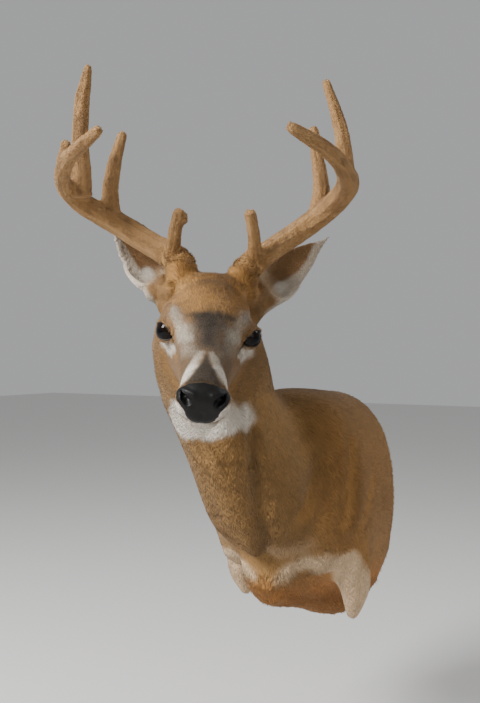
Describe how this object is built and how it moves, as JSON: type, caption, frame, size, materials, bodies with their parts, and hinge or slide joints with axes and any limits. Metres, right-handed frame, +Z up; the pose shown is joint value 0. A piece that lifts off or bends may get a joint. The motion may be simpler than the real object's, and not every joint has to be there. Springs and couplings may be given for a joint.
{
  "type": "deer shoulder mount",
  "caption": "Shoulder mount of a whitetail buck with velvet antlers and a short red-brown summer coat, head turned to its left, on a hidden plywood wall board",
  "frame": {"origin": "middle of the board's rear face, on the wall", "axes": "+Z up; +Y into the wall, so the buck stands out along -Y; +X to the buck's own left"},
  "size_m": [0.4096, 0.5944, 0.8819],
  "materials": {
    "rust_coat": "short dense deer hair on tanned hide, orange rust, grizzled",
    "brown_coat": "short dense deer hair on tanned hide, greyish brown",
    "red_brown_coat": "short dense summer deer hair on tanned hide, red brown",
    "white_coat": "soft white deer hair on tanned hide",
    "nose_leather": "bare black nose pad, pebbled, varnished to look moist",
    "glass_eye": "polished, dark brown iris with a wide pupil",
    "velvet": "short tan-brown velvet fuzz over ridged antler",
    "plywood": "sanded, unfinished",
    "zinc_steel": "zinc plated"
  },
  "bodies": {
    "root": {"head": "rust_coat", "nose": "nose_leather", "lower_jaw": "white_coat", "neck": "brown_coat", "trunk": "red_brown_coat", "leg_left": "white_coat", "leg_right": "white_coat", "ear_left": "rust_coat", "ear_right": "rust_coat", "eye_left": "glass_eye", "eye_right": "glass_eye", "antler_left_beam": "velvet", "antler_left_mid": "velvet", "antler_left_tip": "velvet", "antler_left_brow": "velvet", "antler_left_g2": "velvet", "antler_left_g3": "velvet", "antler_right_beam": "velvet", "antler_right_mid": "velvet", "antler_right_tip": "velvet", "antler_right_brow": "velvet", "antler_right_g2": "velvet", "antler_right_g3": "velvet", "antler_right_g4": "velvet", "backboard": "plywood", "hanger_bar": "zinc_steel", "hanger_screw_left": "zinc_steel", "hanger_screw_right": "zinc_steel"}
  },
  "joints": []
}
